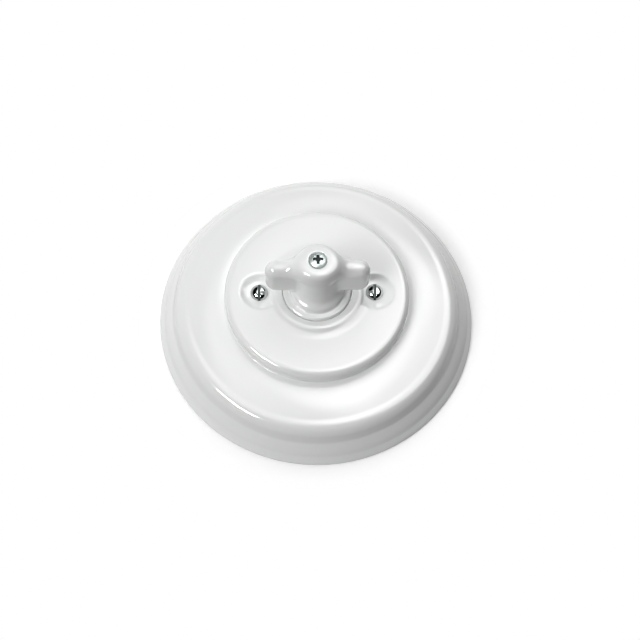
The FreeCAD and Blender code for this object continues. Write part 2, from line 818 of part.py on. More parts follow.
# Terminal screws: three slotted clamping screws reached through the windows in the base
clamp_head_radius = size("clamp_head_radius", 2.4)
clamp_head_height = size("clamp_head_height", 1.8)
clamp_head_gap = size("clamp_head_gap", 0.9)
clamp_reach_gap = size("clamp_reach_gap", 0.3)
clamp_slot_width = size("clamp_slot_width", 0.8)
clamp_slot_depth = size("clamp_slot_depth", 0.9)

clamp_seat = terminal_outer + clamp_head_gap
clamp_shank = clamp_seat - wire_hole_out - wire_hole_radius - clamp_reach_gap
clamps = new_body("terminal_screws")
for plane, side in (("XZ_Plane", 1), ("YZ_Plane", 1), ("XZ_Plane", -1)):
    across = terminal_across * side
    head = new_sketch(clamps, plane, clamp_seat * side)
    disc(head, across, terminal_screw_z, clamp_head_radius)
    extrude(clamps, "Pad", head, clamp_head_height, reverse=side < 0)
    shank = new_sketch(clamps, plane, clamp_seat * side)
    disc(shank, across, terminal_screw_z, screw_radius)
    extrude(clamps, "Pad", shank, clamp_shank, reverse=side > 0)
    groove = new_sketch(clamps, plane, (clamp_seat + clamp_head_height) * side)
    left = across - clamp_head_radius - 0.5
    right = across + clamp_head_radius + 0.5
    low = terminal_screw_z - clamp_slot_width / 2
    high = terminal_screw_z + clamp_slot_width / 2
    box(groove, left, right, low, high)
    extrude(clamps, "Pocket", groove, clamp_slot_depth, reverse=side < 0)

# Contact fingers: three sprung bronze strips from the terminals to the drum
finger_thickness = size("finger_thickness", 0.5)
finger_gap = size("finger_gap", 0.12)
finger_width = size("finger_width", 3.4)
finger_land = size("finger_land", 1.4)
finger_bend = size("finger_bend", 6.0)
finger_tail = size("finger_tail", 11.4)
finger_tip = size("finger_tip", 4.0)
finger_tip_lift = size("finger_tip_lift", 0.9)

finger_near = -drum_radius - finger_gap
finger_far = finger_near - finger_thickness
strip_near = finger_thickness - terminal_inner


def finger(label, angle, track_middle):
    body = new_body(label)
    plan = new_sketch(body, "XY_Plane", track_middle - finger_width / 2)
    outline(
        plan,
        [
            (finger_tail, -terminal_inner),
            (finger_tail, strip_near),
            (finger_bend, strip_near),
            (finger_land, finger_near),
            (-finger_land, finger_near),
            (-finger_tip, finger_near - finger_tip_lift),
            (-finger_tip, finger_far - finger_tip_lift),
            (-finger_land, finger_far),
            (finger_land, finger_far),
            (finger_bend, -terminal_inner),
        ],
    )
    extrude(body, "Pad", plan, finger_width)
    spun(body, angle)
    return body


ring_track = crown_back + track_width / 2
lobe_track = lobe_back + lobe_length / 2
finger("contact_common", 0, ring_track)
finger("contact_one", 90, lobe_track)
finger("contact_two", 180, lobe_track)

# Knob screw: the plated pan head screw down through the knob into the spindle
knob_cap = size("knob_cap", 6.8)
knob_screw_seat = size("knob_screw_seat", 1.1)
pan_radius = size("pan_radius", 2.8)
pan_side = size("pan_side", 0.9)
pan_height = size("pan_height", 2.0)
cross_length = size("cross_length", 3.4)
cross_width = size("cross_width", 0.8)
cross_depth = size("cross_depth", 1.2)
knob_screw_length = size("knob_screw_length", 14.0)

knob_top = spindle_top + knob_cap
pan_seat = knob_top - knob_screw_seat
pan_rise = pan_height - pan_side
pan_round = (pan_radius * pan_radius + pan_rise * pan_rise) / (pan_rise * 2)
knob_screw = new_body("knob_screw")
profile = new_sketch(knob_screw, "XZ_Plane")
outline(
    profile,
    [
        (0, pan_seat - knob_screw_length),
        (screw_radius, pan_seat - knob_screw_length),
        (screw_radius, pan_seat),
        (pan_radius, pan_seat),
        (pan_radius, pan_seat + pan_side),
        (0, pan_seat + pan_height, pan_round, 1),
    ],
)
turn(knob_screw, "Revolution", profile)
cross = new_sketch(knob_screw, "XY_Plane", pan_seat + pan_height)
arm = cross_length / 2
rib = cross_width / 2
outline(
    cross,
    [(arm, -rib), (arm, rib), (rib, rib), (rib, arm), (-rib, arm), (-rib, rib)]
    + [(-arm, rib), (-arm, -rib), (-rib, -rib), (-rib, -arm), (rib, -arm), (rib, -rib)],
)
extrude(knob_screw, "Pocket", cross, cross_depth)

# Knob: the porcelain turn button with a stepped foot, a round boss and two wings
boss_radius = size("boss_radius", 6.4)
wing_reach = size("wing_reach", 17.2)
wing_thickness = size("wing_thickness", 6.6)
wing_blend = size("wing_blend", 4.0)
wing_edge_round = size("wing_edge_round", 2.4)
wing_height = size("wing_height", 14.4)
boss_rise = size("boss_rise", 3.7)
wing_low_round = size("wing_low_round", 3.2)
wing_top_round = size("wing_top_round", 4.6)
wing_root = size("wing_root", 4.2)
wing_root_round = size("wing_root_round", 4.4)
under_round = size("under_round", 0.9)
boss_neck = size("boss_neck", 1.4)
boss_edge = size("boss_edge", 0.9)
knob_foot_gap = size("knob_foot_gap", 0.4)
flange_side = size("flange_side", 0.8)
flange_edge = size("flange_edge", 0.9)
step_land = size("step_land", 0.2)
step_side = size("step_side", 1.2)
step_edge = size("step_edge", 0.9)
stem_cove = size("stem_cove", 1.5)
socket_gap = size("socket_gap", 0.15)
socket_round_depth = size("socket_round_depth", 3.2)
socket_top_gap = size("socket_top_gap", 0.3)
recess_radius = size("recess_radius", 3.1)
recess_floor_radius = size("recess_floor_radius", 2.95)
recess_round = size("recess_round", 4.0)
screw_hole_gap = size("screw_hole_gap", 0.15)

knob_foot = well_floor + knob_foot_gap
flange_top = knob_foot + flange_side + flange_edge
step_radius = boss_radius + stem_cove + step_land + step_edge
step_top = flange_top + step_side + step_edge
stem_low = step_top + stem_cove
wing_top = knob_top - boss_rise
wing_low = wing_top - wing_height
half_wing = wing_thickness / 2
blend_up = half_wing + wing_blend
blend_reach = boss_radius + wing_blend
blend_across = (blend_reach * blend_reach - blend_up * blend_up).root()
boss_share = boss_radius / blend_reach
touch_across = blend_across * boss_share
touch_up = blend_up * boss_share
knob = new_body("knob")
plan = new_sketch(knob, "XY_Plane", step_top)
outline(
    plan,
    [
        (wing_reach + 1.0, -half_wing),
        (wing_reach + 1.0, half_wing),
        (blend_across, half_wing),
        (touch_across, touch_up, wing_blend, -1),
        (-touch_across, touch_up, boss_radius, 1),
        (-blend_across, half_wing, wing_blend, -1),
        (-wing_reach - 1.0, half_wing),
        (-wing_reach - 1.0, -half_wing),
        (-blend_across, -half_wing),
        (-touch_across, -touch_up, wing_blend, -1),
        (touch_across, -touch_up, boss_radius, 1),
        (blend_across, -half_wing, wing_blend, -1),
    ],
)
extrude(knob, "Pad", plan, knob_top - step_top)
side_view = new_sketch(knob, "XZ_Plane")
box(side_view, -wing_reach - 2.0, wing_reach + 2.0, knob_foot - 1.0, knob_top + 2.0)
under_in = boss_radius + under_round
top_in = wing_reach - wing_top_round
low_in = wing_reach - wing_low_round
root_out = boss_radius + wing_root
neck_low = knob_top - boss_neck
outline(
    side_view,
    [
        (boss_radius, knob_foot),
        (boss_radius, wing_low - under_round),
        (under_in, wing_low, under_round, -1),
        (low_in, wing_low),
        (wing_reach, wing_low + wing_low_round, wing_low_round, 1),
        (wing_reach, wing_top - wing_top_round),
        (top_in, wing_top, wing_top_round, 1),
        (root_out, wing_top),
        (boss_radius, knob_top, wing_root_round, -1),
        (-boss_radius, knob_top),
        (-root_out, wing_top, wing_root_round, -1),
        (-top_in, wing_top),
        (-wing_reach, wing_top - wing_top_round, wing_top_round, 1),
        (-wing_reach, wing_low + wing_low_round),
        (-low_in, wing_low, wing_low_round, 1),
        (-under_in, wing_low),
        (-boss_radius, wing_low - under_round, under_round, -1),
        (-boss_radius, knob_foot),
    ],
)
cut_through(knob, side_view, both_ways=True)


def blade_edge(edge):
    """True for the edges round the two flat sides of the wings."""
    extent = edge.BoundBox
    on_side = abs(abs(edge.CenterOfMass.y) - half_wing.value) < 0.001 and extent.YLength < 0.001
    return on_side and extent.XLength > 0.001


soften(knob, blade_edge, wing_edge_round)
neck = new_sketch(knob, "XZ_Plane")
box(neck, boss_radius, boss_radius + wing_blend + 2.0, neck_low, knob_top + 1.0)
turn(knob, "Groove", neck)


def boss_rim(edge):
    """True for the rim of the boss."""
    return abs(edge.BoundBox.ZMin - knob_top.value) < 0.001


soften(knob, boss_rim, boss_edge)
foot = new_sketch(knob, "XZ_Plane")
outline(
    foot,
    [
        (0, knob_foot),
        (knob_flange_radius, knob_foot),
        (knob_flange_radius, knob_foot + flange_side),
        (knob_flange_radius - flange_edge, flange_top, flange_edge, 1),
        (step_radius, flange_top),
        (step_radius, flange_top + step_side),
        (step_radius - step_edge, step_top, step_edge, 1),
        (boss_radius + stem_cove, step_top),
        (boss_radius, stem_low, stem_cove, -1),
        (0, stem_low),
    ],
)
turn(knob, "Revolution", foot)
recess = new_sketch(knob, "XZ_Plane")
outline(
    recess,
    [
        (0, pan_seat),
        (recess_floor_radius, pan_seat),
        (recess_radius, knob_top, recess_round, 1),
        (recess_radius, knob_top + 1.0),
        (0, knob_top + 1.0),
    ],
)
turn(knob, "Groove", recess)
socket = new_sketch(knob, "XY_Plane", knob_foot)
disc(socket, 0, 0, spindle_radius + socket_gap)
extrude(knob, "Pocket", socket, socket_round_depth, reverse=True)
socket = new_sketch(knob, "XY_Plane", knob_foot)
box(socket, -half_hole, half_hole, -half_hole, half_hole)
extrude(knob, "Pocket", socket, spindle_top + socket_top_gap - knob_foot, reverse=True)
hole = new_sketch(knob, "XY_Plane", knob_foot)
disc(hole, 0, 0, screw_radius + screw_hole_gap)
cut_through(knob, hole, reverse=True)

# Every piece is checked and then written to its own file
doc.recompute()
os.makedirs("parts", exist_ok=True)
bodies = [o for o in doc.Objects if o.TypeId == "PartDesign::Body"]
for thing in doc.Objects:
    if "Invalid" in thing.State or "Error" in thing.State:
        raise RuntimeError(f"{thing.Label} of {thing.Name} did not build: {thing.State}")
for body in bodies:
    if body.Shape.isNull() or not body.Shape.isValid():
        raise RuntimeError(f"{body.Label} has no valid shape")
for body in bodies:
    body.Shape.exportStep(f"parts/{body.Label}.step")
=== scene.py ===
import math

import bpy
from mathutils import Matrix, Vector


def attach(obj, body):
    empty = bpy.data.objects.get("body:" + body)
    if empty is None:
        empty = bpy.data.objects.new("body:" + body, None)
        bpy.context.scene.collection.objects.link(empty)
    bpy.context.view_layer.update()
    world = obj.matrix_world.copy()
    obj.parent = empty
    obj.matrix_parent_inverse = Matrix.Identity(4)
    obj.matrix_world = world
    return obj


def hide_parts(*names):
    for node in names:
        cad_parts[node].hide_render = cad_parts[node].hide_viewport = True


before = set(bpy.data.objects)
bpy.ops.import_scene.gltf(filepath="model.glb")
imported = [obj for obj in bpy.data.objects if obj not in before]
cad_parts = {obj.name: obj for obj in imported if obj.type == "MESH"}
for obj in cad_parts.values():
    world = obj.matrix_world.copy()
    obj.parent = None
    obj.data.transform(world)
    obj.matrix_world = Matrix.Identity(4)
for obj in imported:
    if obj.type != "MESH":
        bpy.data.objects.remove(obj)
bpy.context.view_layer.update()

# Mounting strap and pillars: the strap is pressed from steel sheet, zinc plated in a barrel
# and screwed over the wall box. The two pillars are turned from brass, riveted into the strap
# and tapped for the cover screws.


class Field:
    """A node's output that Python's operators work on."""

    def __init__(self, nodes, socket):
        self.nodes = nodes
        self.socket = socket

    def math(self, operation, *values):
        return self.nodes.add("ShaderNodeMath", {"operation": operation}, dict(enumerate(values)))

    def __add__(self, other):
        return self.math("ADD", self, other)

    __radd__ = __add__

    def __sub__(self, other):
        return self.math("SUBTRACT", self, other)

    def __rsub__(self, other):
        return self.math("SUBTRACT", other, self)

    def __mul__(self, other):
        return self.math("MULTIPLY", self, other)

    __rmul__ = __mul__

    def __truediv__(self, other):
        return self.math("DIVIDE", self, other)

    def __rtruediv__(self, other):
        return self.math("DIVIDE", other, self)

    def __neg__(self):
        return self.math("MULTIPLY", self, -1.0)

    def __abs__(self):
        return self.math("ABSOLUTE", self)

    def __lt__(self, other):
        return self.math("LESS_THAN", self, other)

    def __gt__(self, other):
        return self.math("GREATER_THAN", self, other)


class Nodes:
    """A node tree, with one method that adds a node, its settings and its inputs."""

    def __init__(self, tree):
        self.tree = tree

    def add(self, kind, settings, inputs, output=0):
        node = self.tree.nodes.new(kind)
        for name, value in settings.items():
            setattr(node, name, value)
        for key, value in inputs.items():
            self.fill(node.inputs[key], value)
        return Field(self, node.outputs[output])

    def fill(self, socket, value):
        if isinstance(value, Field):
            self.tree.links.new(value.socket, socket)
        else:
            socket.default_value = value

    def span(self, one, other):
        """How far a point with these two coordinates is from nought."""
        return self.add("ShaderNodeMath", {"operation": "SQRT"}, {0: one * one + other * other})

    def eased(self, value, start, end, least=0.0):
        """From least where a value is at its start to one at its end, slow at both."""
        course = {"Value": value, "From Min": start, "From Max": end, "To Min": least}
        return self.add("ShaderNodeMapRange", {"interpolation_type": "SMOOTHSTEP"}, course)


MM_PER_METRE = 1000


class Finish(Nodes):
    """A material on one Principled shader, laid out in the piece's own coordinates."""

    def __init__(self, name):
        self.material = bpy.data.materials.new(name)
        self.material.use_nodes = True
        super().__init__(self.material.node_tree)
        self.shader = self.tree.nodes["Principled BSDF"]
        self.place = self.add("ShaderNodeTexCoord", {}, {}, "Object")

    def place_on(self, axis):
        """The place along one axis, in millimetres."""
        metres = self.add("ShaderNodeSeparateXYZ", {}, {"Vector": self.place}, axis)
        return metres * MM_PER_METRE

    def feed(self, inputs):
        for name, value in inputs.items():
            self.fill(self.shader.inputs[name], value)

    def cloud(self, lump, detail):
        """Soft noise from 0 to 1 with lumps about this many metres across."""
        inputs = {"Vector": self.place, "Scale": 1 / lump, "Detail": detail}
        return self.add("ShaderNodeTexNoise", {}, inputs)

    def between(self, share, one, other):
        """The colour part way from one to the other."""
        # A Mix node's colours are its inputs 6 and 7 and its output 2.
        return self.add("ShaderNodeMix", {"data_type": "RGBA"}, {0: share, 6: one, 7: other}, 2)

    def bump(self, height, depth, strength):
        inputs = {"Height": height, "Distance": depth, "Strength": strength}
        return self.add("ShaderNodeBump", {}, inputs)


METAL_DETAIL = 3.0
GRAINS_PER_LUMP = 10
GRAIN_DEPTH = 0.00002
GRAIN_STRENGTH = 0.25
# Painted shade: the near-black tone laid into screw slots and recesses, where shade falls.
HOLLOW_PAINTED_SHADE = (0.045, 0.055, 0.053, 1)
HOLLOW_DULLNESS = 0.4


def metal(name, dull, bright, polish, spread, lump, shaded_hollow=None):
    """A metal drifting in tone and polish over lumps of this size, dull and painted dark as shade in
    its recess.
    """
    finish = Finish(name)
    drift = finish.cloud(lump, METAL_DETAIL)
    grain = finish.cloud(lump / GRAINS_PER_LUMP, METAL_DETAIL)
    tone = finish.between(drift, dull, bright)
    rough = polish + spread * (drift + grain - 1.0)
    if shaded_hollow:
        # Painted shade darkens the recess towards near black.
        inside = shaded_hollow(finish)
        tone = finish.between(inside, tone, HOLLOW_PAINTED_SHADE)
        rough = rough + inside * HOLLOW_DULLNESS
    finish.feed(
        {
            "Base Color": tone,
            "Metallic": 1.0,
            "Roughness": rough,
            "Normal": finish.bump(grain, GRAIN_DEPTH, GRAIN_STRENGTH),
        }
    )
    return finish.material


def dress(material, *names):
    """Gives the CAD nodes with these names a material."""
    for name in names:
        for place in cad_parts[name].material_slots:
            place.material = material


zinc_plate = metal(
    "zinc_plate",
    dull=(0.46, 0.47, 0.49, 1),
    bright=(0.66, 0.66, 0.65, 1),
    polish=0.34,
    spread=0.16,
    lump=0.004,
)
brass = metal(
    "turned_brass",
    dull=(0.56, 0.37, 0.12, 1),
    bright=(0.80, 0.59, 0.25, 1),
    polish=0.26,
    spread=0.14,
    lump=0.006,
)
dress(zinc_plate, "mounting_strap")
dress(brass, "cover_pillars")

# Switch block: base and lid are pressed from dark moulding powder, which leaves a dull skin with
# fine pale flecks of filler. Two long steel screws from the back hold both to the strap.
MOULD_LUMP = 0.009
MOULD_GRAIN = 0.0007
MOULD_GRAIN_DEPTH = 0.00004
FLECKS_PER_METRE = 1400.0
FLECK_RADIUS = 0.2
FLECK_SHARE = 0.5
FLECK_TONE = (0.11, 0.095, 0.08, 1)
moulding = Finish("dark_moulding")
mould_drift = moulding.cloud(MOULD_LUMP, detail=3.0)
mould_grain = moulding.cloud(MOULD_GRAIN, detail=2.0)
fleck_cells = {"Vector": moulding.place, "Scale": FLECKS_PER_METRE}
fleck = moulding.add("ShaderNodeTexVoronoi", {}, fleck_cells) < FLECK_RADIUS
moulding_tone = moulding.between(mould_drift, (0.018, 0.015, 0.013, 1), (0.034, 0.028, 0.024, 1))
moulding.feed(
    {
        "Base Color": moulding.between(fleck * FLECK_SHARE, moulding_tone, FLECK_TONE),
        "Roughness": 0.30 + 0.28 * mould_drift,
        "Normal": moulding.bump(mould_grain, depth=MOULD_GRAIN_DEPTH, strength=0.3),
    }
)
dress(moulding.material, "switch_base", "switch_lid")
dress(zinc_plate, "base_screws")

# Spindle, clip and click: the spindle is a turned brass shaft milled square at both ends. A sprung
# ring keeps the ivory cam on it, and two blued steel leaves press on the flats of the cam.
spring_steel = metal(
    "spring_steel",
    dull=(0.25, 0.26, 0.29, 1),
    bright=(0.42, 0.43, 0.46, 1),
    polish=0.28,
    spread=0.12,
    lump=0.003,
)
IVORY_LUMP = 0.006
IVORY_GRAIN = 0.0009
IVORY_GRAIN_DEPTH = 0.00003
ivory = Finish("ivory_moulding")
ivory_drift = ivory.cloud(IVORY_LUMP, detail=3.0)
ivory_grain = ivory.cloud(IVORY_GRAIN, detail=2.0)
ivory.feed(
    {
        "Base Color": ivory.between(ivory_drift, (0.66, 0.59, 0.44, 1), (0.76, 0.70, 0.56, 1)),
        "Roughness": 0.32 + 0.2 * ivory_drift,
        "Normal": ivory.bump(ivory_grain, depth=IVORY_GRAIN_DEPTH, strength=0.3),
    }
)
dress(brass, "spindle")
dress(spring_steel, "spindle_clip", "detent_springs")
dress(ivory.material, "index_cam")

# Contacts and terminals: a stamped copper crown sits in a moulded drum, three bronze fingers press on
# it, and each is riveted to a brass block with a hole for the wire and a steel clamping screw.
copper = metal(
    "stamped_copper",
    dull=(0.56, 0.22, 0.11, 1),
    bright=(0.80, 0.40, 0.24, 1),
    polish=0.24,
    spread=0.14,
    lump=0.004,
)
bronze = metal(
    "rolled_bronze",
    dull=(0.50, 0.28, 0.12, 1),
    bright=(0.72, 0.46, 0.24, 1),
    polish=0.26,
    spread=0.14,
    lump=0.003,
)
dress(moulding.material, "contact_drum")
dress(copper, "drum_contact")
dress(bronze, "contact_common", "contact_one", "contact_two")
dress(brass, "terminal_common", "terminal_one", "terminal_two")
dress(zinc_plate, "terminal_screws")

# Surround ring: the wide porcelain ring against the wall, cast in a plaster mould, turned true and
# fired under a thick white glaze that softens its mouldings. Its top rolls over and dips toward the
# cover, which clamps it to the strap.
RING_RADIUS = 54.0
RING_SIDES = [
    (48.8, 0.0),
    (RING_RADIUS, 0.0),
    (RING_RADIUS, 0.9),
    (52.3, 3.0, 7.0, 1),
    (49.1, 7.3, 10.5, 1),
    (48.1, 10.4),
    (43.4, 13.8, 5.2, 1),
    (40.0, 14.87, 60.0, 1),
    (31.2, 15.65, 25.2, 1),
    (30.7, 15.7),
    (30.7, 16.5),
    (27.1, 16.5),
    (27.1, 11.9),
    (41.6, 9.2),
    (44.6, 6.4),
]
RING_PITCH = 0.45
RING_SOFTENING = 1
TURN_STEPS = 288


def along(start, end, radius, turn, pitch):
    """Points from start to end of one side of a profile, straight or round an arc, without the end."""
    chord = end - start
    count = max(2, math.ceil(chord.length / pitch))
    if radius == 0:
        return [start + chord * step / count for step in range(count)]
    normal = Vector((-chord.y, chord.x)).normalized() * turn
    centre = start + chord / 2 + normal * math.sqrt(radius**2 - chord.length_squared / 4)
    sweep = 2 * math.asin(chord.length / 2 / radius) * turn
    spoke = start - centre
    return [centre + Matrix.Rotation(sweep * step / count, 2) @ spoke for step in range(count)]


def profile(sides, pitch, passes):
    """The closed profile that these sides make, its corners softened as the glaze softens them.

    A side is given by how far out and how high it ends, and an arc also by its radius and turn.
    """
    points = []
    for before, side in zip(sides[-1:] + sides[:-1], sides):
        radius, turn = side[2:] or (0, 1)
        points += along(Vector(before[:2]), Vector(side[:2]), radius, turn, pitch)
    for _ in range(passes):
        ends = points[-1:] + points + points[:1]
        points = [(ends[i] + 2 * ends[i + 1] + ends[i + 2]) / 4 for i in range(len(points))]
    return points


def piece(name, mesh, material, body, slot, *nodes):
    """A finished piece that rides on a body, stands for CAD nodes and shows a material."""
    for face in mesh.polygons:
        face.use_smooth = True
    mesh.materials.clear()
    mesh.materials.append(material)
    made = bpy.data.objects.new(name, mesh)
    bpy.context.scene.collection.objects.link(made)
    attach(made, body)
    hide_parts(*nodes)


def turned(name, points, shape=lambda x, y, z: z):
    """The mesh of a profile turned about the Z axis, each point's height given by a shape."""
    corners = []
    for step in range(TURN_STEPS):
        angle = 2 * math.pi * step / TURN_STEPS
        for radius, height in points:
            x, y = radius * math.cos(angle), radius * math.sin(angle)
            z = shape(x, y, height)
            corners.append((x / MM_PER_METRE, y / MM_PER_METRE, z / MM_PER_METRE))
    count = len(points)
    faces = []
    for step in range(TURN_STEPS):
        here, there = step * count, (step + 1) % TURN_STEPS * count
        for i in range(count):
            j = (i + 1) % count
            faces.append((here + i, there + i, there + j, here + j))
    mesh = bpy.data.meshes.new(name)
    mesh.from_pydata(corners, [], faces)
    return mesh


DRIFT_LUMP = 0.035
RIPPLE_LUMP = 0.007
PEEL_LUMP = 0.0014
RIPPLE_SHARE = 0.8
PEEL_SHARE = 0.2
GLAZE_WAVE_DEPTH = 0.0002
GLAZE_WAVE_STRENGTH = 0.10
glaze = Finish("white_glaze")
glaze_drift = glaze.cloud(DRIFT_LUMP, detail=2.0)
glaze_ripple = glaze.cloud(RIPPLE_LUMP, detail=1.0)
glaze_peel = glaze.cloud(PEEL_LUMP, detail=2.0)
glaze_wave = glaze_ripple * RIPPLE_SHARE + glaze_peel * PEEL_SHARE
glaze.feed(
    {
        "Base Color": glaze.between(glaze_drift, (0.80, 0.813, 0.808, 1), (0.855, 0.862, 0.852, 1)),
        "Roughness": 0.05 + 0.06 * glaze_peel,
        "IOR": 1.52,
        "Normal": glaze.bump(glaze_wave, GLAZE_WAVE_DEPTH, GLAZE_WAVE_STRENGTH),
    }
)
ring_mesh = turned("surround_ring_glazed", profile(RING_SIDES, RING_PITCH, RING_SOFTENING))
piece("surround_ring_glazed", ring_mesh, glaze.material, "fixed", "porcelain", "surround_ring")

# Cover plate: the round porcelain plate that sits in the ring on a spigot. Its collar keeps dust out
# of the knob's bearing, and two dished seats take the heads of the cover screws.
COVER_TOP = 21.4
COLLAR_OUTER = 15.3
SCREW_AT = 19.3
DISH_RADIUS = 6.5
DISH_SEAT = 3.3
DISH_DEPTH = 1.5
DISH_CURVE = 1.6
DISH_EASE = 0.6
DISH_LIP = 0.1
UNDERSIDE = 18.0
COLLAR_CLEAR = 0.02
COVER_PITCH = 0.33
COVER_SOFTENING = 2
COVER_SIDES = [
    (4.2, 17.0),
    (24.3, 17.0),
    (24.3, 13.5),
    (26.7, 13.5),
    (26.7, 16.5),
    (31.0, 16.5),
    (31.0, 19.0),
    (28.6, COVER_TOP, 2.4, 1),
    (18.0, COVER_TOP),
    (COLLAR_OUTER, 21.95, 7.0, -1),
    (13.9, 22.6, 3.2, 1),
    (11.9, 22.6),
    (11.58, 22.28, 0.32, 1),
    (11.58, 21.55),
    (10.6, 21.55),
    (10.4, 21.2),
    (4.2, 21.2),
]


def dished(x, y, height):
    """The cover's height at a point, let down into the nearer screw dish."""
    from_screw = math.hypot(abs(x) - SCREW_AT, y)
    slope = max(0.0, (from_screw - DISH_SEAT) / (DISH_RADIUS - DISH_SEAT))
    bowl = COVER_TOP - DISH_DEPTH * (1 - slope**DISH_CURVE)
    in_collar = math.hypot(x, y) < COLLAR_OUTER + COLLAR_CLEAR
    if height < UNDERSIDE or bowl > height + DISH_EASE or in_collar:
        return height
    overlap = max(0.0, DISH_EASE - abs(bowl - height)) / DISH_EASE
    return min(bowl, height) - overlap**3 * DISH_LIP


cover_mesh = turned("cover_plate_glazed", profile(COVER_SIDES, COVER_PITCH, COVER_SOFTENING), dished)
piece("cover_plate_glazed", cover_mesh, glaze.material, "fixed", "porcelain", "cover_plate")

# Cover screws: two brass screws with domed slotted heads, bright nickel plated and polished. They go
# down through the dishes of the cover into the pillars and hold cover and ring in place.
SURFACE_LEVEL = 0.5
SHANK_SIDES = 24
TURN_POINTS = 20
RIDGE_SIDES = 6
THREAD_ROOT = 0.84
THREAD_RIDGE = 0.16
THREAD_SHARE = 0.97
SLOT_SHADE = 0.43


class Form(Nodes):
    """A geometry node tree with named sizes in millimetres that comes out as a plain mesh."""

    def __init__(self, name, sizes):
        super().__init__(bpy.data.node_groups.new(name, "GeometryNodeTree"))
        self.name = name
        self.values = {}
        sockets = self.tree.interface
        for label, value in sizes.items():
            socket = sockets.new_socket(label, in_out="INPUT", socket_type="NodeSocketFloat")
            self.values[socket.identifier] = value
        sockets.new_socket("Geometry", in_out="OUTPUT", socket_type="NodeSocketGeometry")
        self.sizes = self.tree.nodes.new("NodeGroupInput")
        position = self.add("GeometryNodeInputPosition", {}, {})
        split = {"Vector": position}
        self.x, self.y, self.z = (self.add("ShaderNodeSeparateXYZ", {}, split, axis) for axis in "XYZ")
        self.out = self.span(self.x, self.y)

    def size(self, label):
        return Field(self, self.sizes.outputs[label])

    def most(self, one, other):
        return self.add("ShaderNodeMath", {"operation": "MAXIMUM"}, {0: one, 1: other})

    def least(self, one, other):
        return self.add("ShaderNodeMath", {"operation": "MINIMUM"}, {0: one, 1: other})

    def blend(self, one, other, reach):
        """Two solids run together with a cove about this wide."""
        return self.add("ShaderNodeMath", {"operation": "SMOOTH_MIN"}, {0: one, 1: other, 2: reach})

    def pare(self, one, tool, reach):
        """A solid with a tool's shape taken out, the edge eased about this wide."""
        return self.add("ShaderNodeMath", {"operation": "SMOOTH_MAX"}, {0: one, 1: -tool, 2: reach})

    def rounded(self, across, along, radius):
        """A solid from its depths across and along, with the edge between them rounded."""
        a = across + radius
        b = along + radius
        outside = self.span(self.most(a, 0.0), self.most(b, 0.0))
        return outside + self.least(self.most(a, b), 0.0) - radius

    def solid(self, depth, low, high, voxel):
        """The mesh of all points where a depth is below nought."""
        clamped = {"operation": "SUBTRACT", "use_clamp": True}
        filled = self.add("ShaderNodeMath", clamped, {0: SURFACE_LEVEL, 1: depth})
        steps = [math.ceil((top - bottom) / voxel) for bottom, top in zip(low, high)]
        cube = {"Density": filled, "Background": 0.0, "Min": low, "Max": high}
        for axis, count in zip("XYZ", steps):
            cube["Resolution " + axis] = count
        volume = self.add("GeometryNodeVolumeCube", {}, cube)
        mesh = {"Volume": volume, "Threshold": SURFACE_LEVEL, "Adaptivity": 0.0}
        return self.add("GeometryNodeVolumeToMesh", {"resolution_mode": "GRID"}, mesh)

    def joined(self, *parts):
        node = self.tree.nodes.new("GeometryNodeJoinGeometry")
        for part in parts:
            self.tree.links.new(part.socket, node.inputs[0])
        return Field(self, node.outputs[0])

    def mesh(self, geometry, material):
        """The tree's result in metres, with its material, as a plain mesh."""
        metres = {"Geometry": geometry, "Scale": [1 / MM_PER_METRE] * 3}
        scaled = self.add("GeometryNodeTransform", {}, metres)
        real = self.add("GeometryNodeRealizeInstances", {}, {"Geometry": scaled})
        shown = self.add("GeometryNodeSetMaterial", {}, {"Geometry": real, "Material": material})
        end = self.tree.nodes.new("NodeGroupOutput")
        self.tree.links.new(shown.socket, end.inputs[0])
        holder = bpy.data.objects.new(self.name, bpy.data.meshes.new(self.name))
        bpy.context.scene.collection.objects.link(holder)
        modifier = holder.modifiers.new("form", "NODES")
        modifier.node_group = self.tree
        for identifier, value in self.values.items():
            modifier[identifier] = value
        seen = holder.evaluated_get(bpy.context.evaluated_depsgraph_get())
        made = bpy.data.meshes.new_from_object(seen)
        holder.modifiers.remove(modifier)
        bpy.data.objects.remove(holder)
        made.name = self.name
        return made


def threaded(form):
    """A screw's shank with its thread, from the sizes that the form names."""
    length = form.size("shank length")
    radius = form.size("shank radius")
    root = radius * THREAD_ROOT
    core = {"Vertices": SHANK_SIDES, "Radius": root, "Depth": length}
    shank = form.add("GeometryNodeMeshCylinder", {}, core)
    turn = {"Resolution": TURN_POINTS, "Rotations": length / form.size("pitch")}
    turn.update({"Height": length * THREAD_SHARE, "Start Radius": root, "End Radius": root})
    helix = form.add("GeometryNodeCurveSpiral", {}, turn)
    round_ridge = {"Resolution": RIDGE_SIDES, "Radius": radius * THREAD_RIDGE}
    ridge = form.add("GeometryNodeCurvePrimitiveCircle", {}, round_ridge)
    thread = form.add("GeometryNodeCurveToMesh", {}, {"Curve": helix, "Profile Curve": ridge})
    low = form.add("ShaderNodeCombineXYZ", {}, {"Z": form.size("seat") - length})
    middle = form.add("ShaderNodeCombineXYZ", {}, {"Z": form.size("seat") - length / 2})
    placed_thread = form.add("GeometryNodeTransform", {}, {"Geometry": thread, "Translation": low})
    placed_shank = form.add("GeometryNodeTransform", {}, {"Geometry": shank, "Translation": middle})
    return form.joined(placed_shank, placed_thread)


def domed_head(form):
    """A screw head with a low spherical dome on an upright edge, all softened by polishing."""
    edge = form.size("head edge")
    top = form.size("seat") + form.size("head height")
    rise = form.size("head height") - form.size("edge height")
    ball = (form.size("head radius") * form.size("head radius") + rise * rise) / (2 * rise)
    dome = form.span(form.out, form.z - top + ball) - ball
    side = form.rounded(form.out - form.size("head radius"), form.size("seat") - form.z, edge)
    return form.add("ShaderNodeMath", {"operation": "SMOOTH_MAX"}, {0: dome, 1: side, 2: edge})


